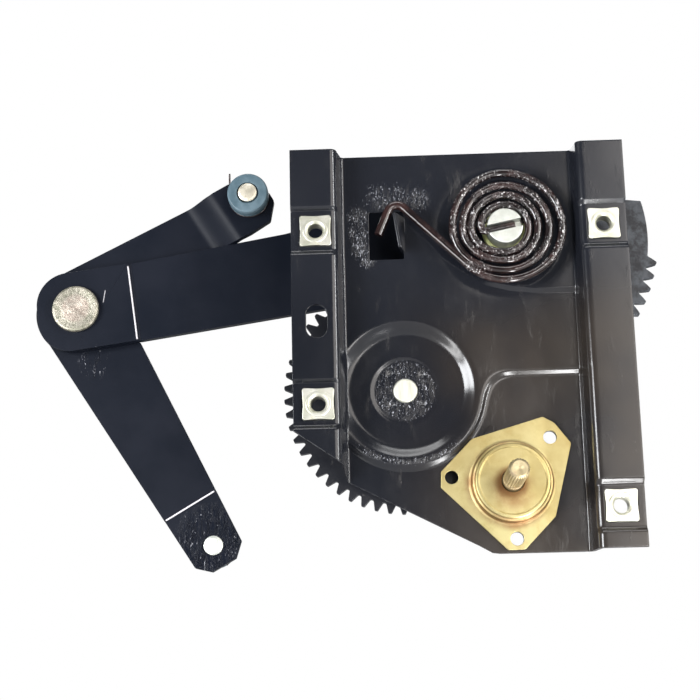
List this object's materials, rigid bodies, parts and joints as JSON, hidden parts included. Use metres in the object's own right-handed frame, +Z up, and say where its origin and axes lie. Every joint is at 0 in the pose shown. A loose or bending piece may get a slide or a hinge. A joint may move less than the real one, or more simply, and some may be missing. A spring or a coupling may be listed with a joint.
{
  "type": "manual window regulator",
  "caption": "Crank-driven window regulator: pressed plate, geared lift arm with balance spring, and a forked lever with rollers for the glass channel.",
  "frame": {"origin": "crank spindle's axis, in the plane of the front faces of the mounting rails", "axes": "+Z up, +X to the right seen from the cabin, +Y from the cabin into the door; the crank spindle points to -Y"},
  "size_m": [0.2864, 0.0754, 0.1848],
  "materials": {
    "plate": "black dip paint, greasy",
    "nuts": "pale zinc",
    "housing": "yellow zinc",
    "drum": "plain steel, oiled",
    "spring_steel": "dark spring steel, greased",
    "turned_steel": "turned steel, greased",
    "gear_steel": "sintered steel, greased",
    "bronze": "sintered bronze",
    "arm_paint": "black dip paint, satin",
    "rivet_zinc": "pale zinc",
    "roller_plastic": "blue-grey nylon"
  },
  "bodies": {
    "base": {"base_plate": "plate", "weld_nuts": "nuts", "crank_housing": "housing", "brake_drum": "drum", "brake_spring": "spring_steel", "idler_pin": "turned_steel", "idler_washer": "turned_steel", "idler_clip": "spring_steel", "pivot_sleeve": "turned_steel", "counterbalance_spring": "spring_steel"},
    "crank": {"crank_spindle": "turned_steel", "crank_pinion": "gear_steel", "pinion_clip": "spring_steel"},
    "idler": {"idler_wheel": "gear_steel", "idler_pinion": "gear_steel", "idler_bush": "bronze", "idler_rivets": "turned_steel"},
    "lift_arm": {"lift_arm": "arm_paint", "sector_gear": "arm_paint", "sector_rivets": "turned_steel", "lift_pivot_stud": "turned_steel", "pivot_collar": "housing", "elbow_rivet": "rivet_zinc", "elbow_spacer": "turned_steel"},
    "forked_lever": {"forked_lever": "arm_paint", "upper_roller_pin": "rivet_zinc", "lower_roller_pin": "rivet_zinc", "upper_roller_ring": "spring_steel", "lower_roller_ring": "spring_steel"},
    "upper_roller": {"upper_roller": "roller_plastic"},
    "lower_roller": {"lower_roller": "roller_plastic"}
  },
  "joints": [
    {"name": "lift_arm_swing", "type": "hinge", "parent": "base", "child": "lift_arm", "pos_m": [0.0015, 0, 0.11345], "axis": [0, 1, 0], "range_deg": [-5, 100], "deforming": ["counterbalance_spring"]},
    {"name": "idler_spin", "type": "hinge", "parent": "base", "child": "idler", "pos_m": [-0.045, 0, 0.0423], "axis": [0, 1, 0], "range_deg": [-431.75, 22.06]},
    {"name": "crank_spin", "type": "hinge", "parent": "base", "child": "crank", "pos_m": [0, 0, 0], "axis": [0, 1, 0], "range_deg": [-119.59, 2372.88]},
    {"name": "lever_swing", "type": "hinge", "parent": "lift_arm", "child": "forked_lever", "pos_m": [-0.19501, 0, 0.08688], "axis": [0, -1, 0], "range_deg": [0, 200]},
    {"name": "upper_roller_spin", "type": "hinge", "parent": "forked_lever", "child": "upper_roller", "pos_m": [-0.11462, 0, 0.13712], "axis": [0, 1, 0], "continuous": true},
    {"name": "lower_roller_spin", "type": "hinge", "parent": "forked_lever", "child": "lower_roller", "pos_m": [-0.13264, 0, -0.02202], "axis": [0, 1, 0], "continuous": true}
  ],
  "couplings": [
    {"joint": "idler_spin", "follows": "lift_arm_swing", "ratio": -4.3125},
    {"joint": "crank_spin", "follows": "lift_arm_swing", "ratio": 23.719}
  ]
}
